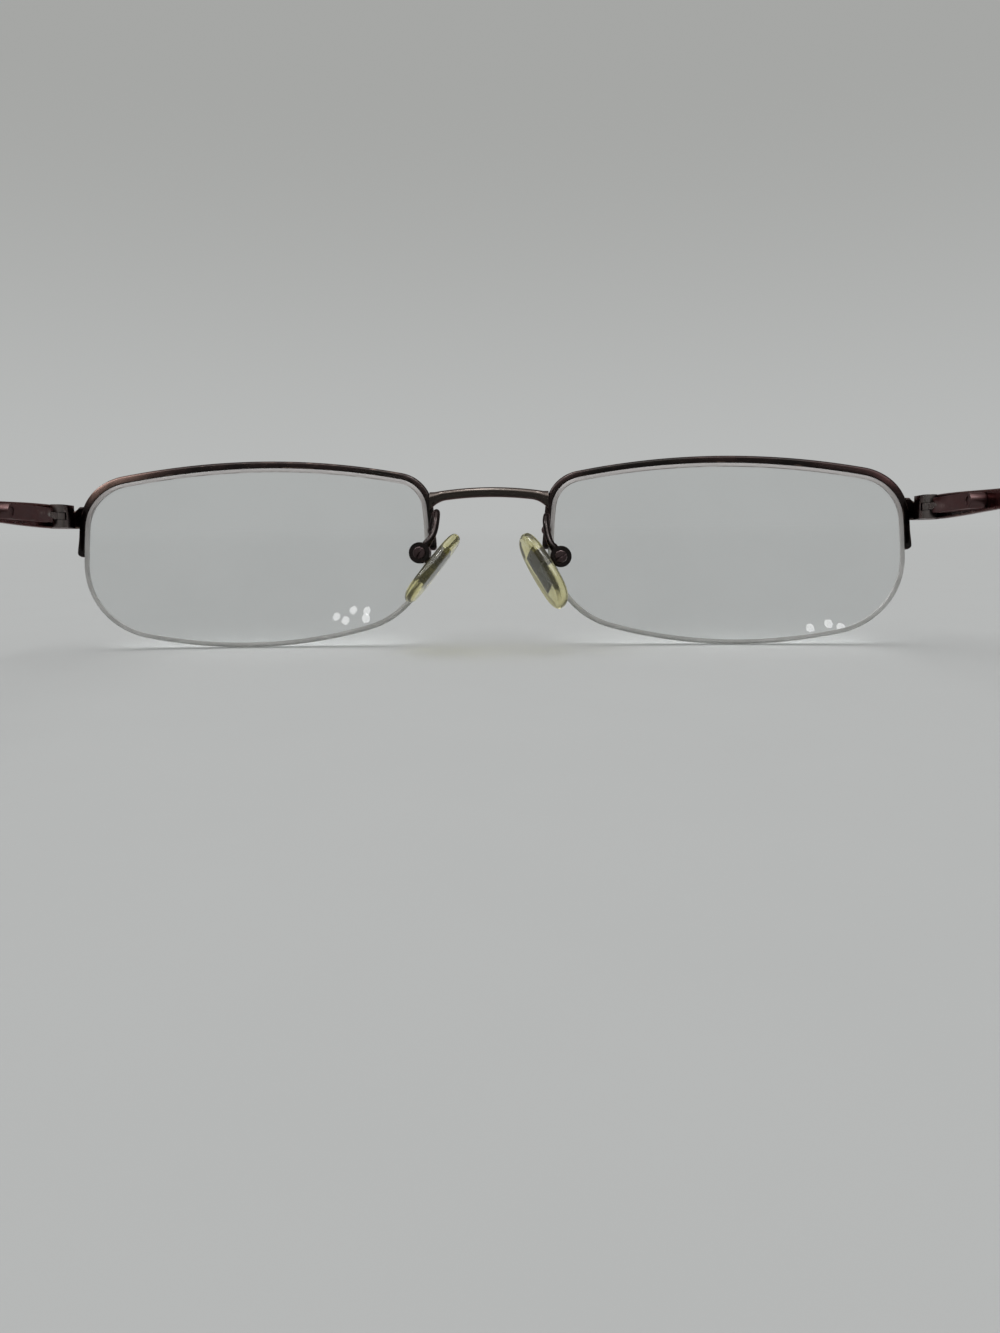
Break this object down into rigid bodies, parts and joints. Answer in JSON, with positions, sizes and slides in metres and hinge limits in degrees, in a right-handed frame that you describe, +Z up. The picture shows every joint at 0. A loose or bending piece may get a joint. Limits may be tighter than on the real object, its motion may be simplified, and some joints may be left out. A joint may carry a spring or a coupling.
{
  "type": "semi-rimless eyeglasses",
  "caption": "Semi-rimless metal eyeglasses with half rims over clear lenses held by a nylon cord, adjustable nose pads and spring-hinged folding temples.",
  "frame": {"origin": "on the table, under the centre of the bounding box of the open glasses", "axes": "+Y the way the wearer looks, along the temples; +X to the wearer's right; +Z up from the table"},
  "size_m": [0.1292, 0.1388, 0.0276],
  "materials": {
    "frame_metal": "dark brown plated gloss",
    "hinge_metal": "grey brown plated gloss",
    "bright_steel": "plain",
    "clear_lens": "polished",
    "nylon": "clear nylon",
    "pad_silicone": "yellowed clear",
    "tip_acetate": "polished dark brown"
  },
  "bodies": {
    "front": {"bridge": "frame_metal", "lens_left": "clear_lens", "lens_right": "clear_lens", "lens_cord_left": "nylon", "lens_cord_right": "nylon", "rim_left": "frame_metal", "rim_right": "frame_metal", "rim_liner_left": "nylon", "rim_liner_right": "nylon", "endpiece_left": "frame_metal", "endpiece_right": "frame_metal", "hinge_leaf_left": "hinge_metal", "hinge_leaf_right": "hinge_metal", "hinge_screw_left": "bright_steel", "hinge_screw_right": "bright_steel", "pad_arm_left": "frame_metal", "pad_arm_right": "frame_metal", "pad_box_left": "frame_metal", "pad_box_right": "frame_metal", "pad_screw_left": "bright_steel", "pad_screw_right": "bright_steel"},
    "slider_left": {"hinge_slider_left": "hinge_metal", "spring_collar_left": "bright_steel"},
    "temple_left": {"temple_left": "frame_metal", "temple_tip_left": "tip_acetate", "spring_box_left": "hinge_metal", "spring_stop_left": "bright_steel", "spring_left": "bright_steel"},
    "pad_left": {"nose_pad_left": "pad_silicone", "pad_plate_left": "hinge_metal"},
    "slider_right": {"hinge_slider_right": "hinge_metal", "spring_collar_right": "bright_steel"},
    "temple_right": {"temple_right": "frame_metal", "temple_tip_right": "tip_acetate", "spring_box_right": "hinge_metal", "spring_stop_right": "bright_steel", "spring_right": "bright_steel"},
    "pad_right": {"nose_pad_right": "pad_silicone", "pad_plate_right": "hinge_metal"}
  },
  "joints": [
    {"name": "temple_fold_left", "type": "hinge", "parent": "front", "child": "slider_left", "pos_m": [-0.06177, 0.05872, 0.01972], "axis": [0, 0.0433, 0.9991], "range_deg": [-8, 90]},
    {"name": "hinge_extend_left", "type": "slide", "parent": "slider_left", "child": "temple_left", "axis": [0, -0.9991, 0.0433], "range_m": [0, 0.0015], "stiffness_N_per_m": 400, "springref_m": -0.002, "deforming": ["spring_left"]},
    {"name": "nose_pad_rock_left", "type": "hinge", "parent": "front", "child": "pad_left", "pos_m": [-0.00955, 0.05739, 0.01402], "axis": [0, 0.9991, -0.0433], "range_deg": [-8, 8]},
    {"name": "temple_fold_right", "type": "hinge", "parent": "front", "child": "slider_right", "pos_m": [0.06177, 0.05872, 0.01972], "axis": [0, -0.0433, -0.9991], "range_deg": [-8, 84]},
    {"name": "hinge_extend_right", "type": "slide", "parent": "slider_right", "child": "temple_right", "axis": [0, -0.9991, 0.0433], "range_m": [0, 0.0015], "stiffness_N_per_m": 400, "springref_m": -0.002, "deforming": ["spring_right"]},
    {"name": "nose_pad_rock_right", "type": "hinge", "parent": "front", "child": "pad_right", "pos_m": [0.01035, 0.05736, 0.01332], "axis": [0, 0.9991, -0.0433], "range_deg": [-8, 8]}
  ]
}
